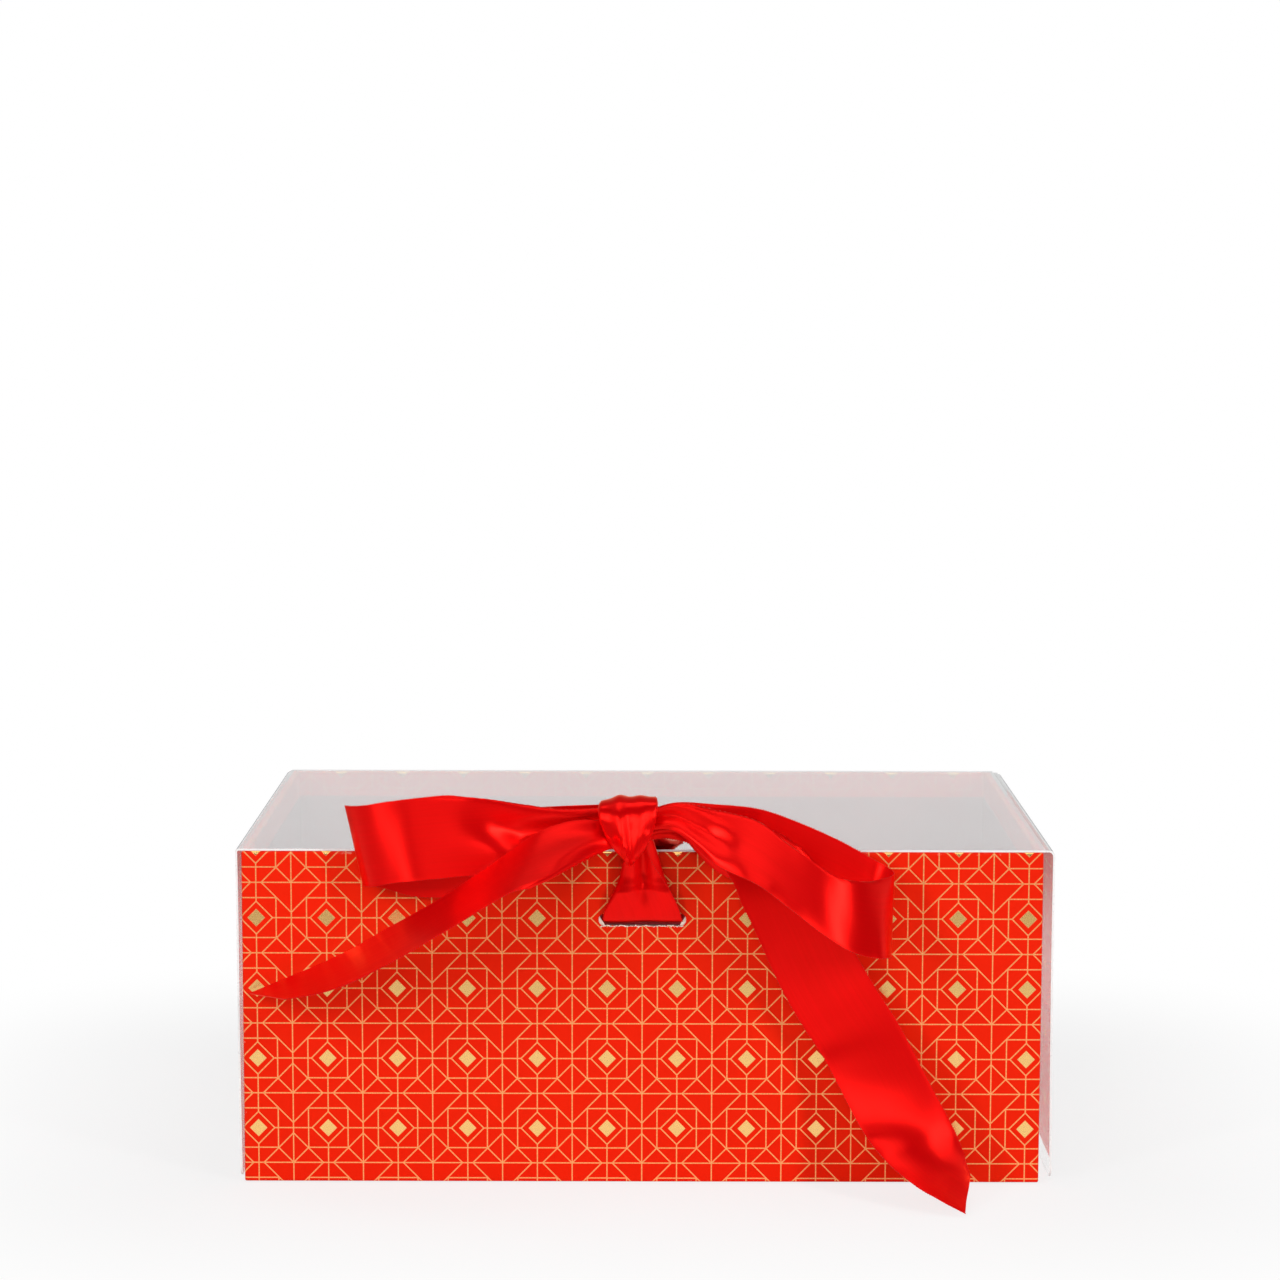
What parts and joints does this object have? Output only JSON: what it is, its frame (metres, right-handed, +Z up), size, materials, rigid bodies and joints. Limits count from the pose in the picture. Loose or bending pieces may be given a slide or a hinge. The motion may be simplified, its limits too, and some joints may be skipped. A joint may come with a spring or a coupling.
{
  "type": "gift box",
  "caption": "Rigid red gift box with a gold lattice wrap, a hinged clear lid with side flaps, and a red satin ribbon bow tied at the front.",
  "frame": {"origin": "centre of the underside of the tray, on the surface that it stands on", "axes": "+X along the front to the right, +Y from the front with the bow to the back with the lid's crease, +Z up"},
  "size_m": [0.323, 0.2522, 0.1592],
  "materials": {
    "greyboard": "matte",
    "stay_paper": "matte",
    "printed_paper": "satin",
    "base_paper": "matte",
    "lining_paper": "matte",
    "clear_sheet": "gloss",
    "clear_tape": "matte",
    "satin_ribbon": "satin"
  },
  "bodies": {
    "tray": {"bottom_board": "greyboard", "front_board": "greyboard", "back_board": "greyboard", "left_board": "greyboard", "right_board": "greyboard", "corner_stay_front_left": "stay_paper", "corner_stay_front_right": "stay_paper", "corner_stay_back_left": "stay_paper", "corner_stay_back_right": "stay_paper", "side_wrap": "printed_paper", "base_sheet": "base_paper", "floor_liner": "lining_paper", "front_liner": "lining_paper", "back_liner": "lining_paper", "left_liner": "lining_paper", "right_liner": "lining_paper", "lid_back_flap": "clear_sheet", "lid_tape": "clear_tape", "ribbon_front_strap": "satin_ribbon", "ribbon_inner_strap": "satin_ribbon", "bow_knot": "satin_ribbon", "bow_left_loop": "satin_ribbon", "bow_right_loop": "satin_ribbon", "bow_left_tail": "satin_ribbon", "bow_right_tail": "satin_ribbon"},
    "lid": {"lid_panel": "clear_sheet", "ribbon_lid_strap": "satin_ribbon"},
    "left_flap": {"lid_left_flap": "clear_sheet"},
    "right_flap": {"lid_right_flap": "clear_sheet"}
  },
  "joints": [
    {"name": "lid_hinge", "type": "hinge", "parent": "tray", "child": "lid", "pos_m": [0, 0.0996, 0.1337], "axis": [-1, 0, 0], "range_deg": [0, 180]},
    {"name": "left_flap_fold", "type": "hinge", "parent": "lid", "child": "left_flap", "pos_m": [-0.1585, 0, 0.1337], "axis": [0, 1, 0], "range_deg": [0, 90]},
    {"name": "right_flap_fold", "type": "hinge", "parent": "lid", "child": "right_flap", "pos_m": [0.1585, 0, 0.1337], "axis": [0, -1, 0], "range_deg": [0, 90]}
  ]
}
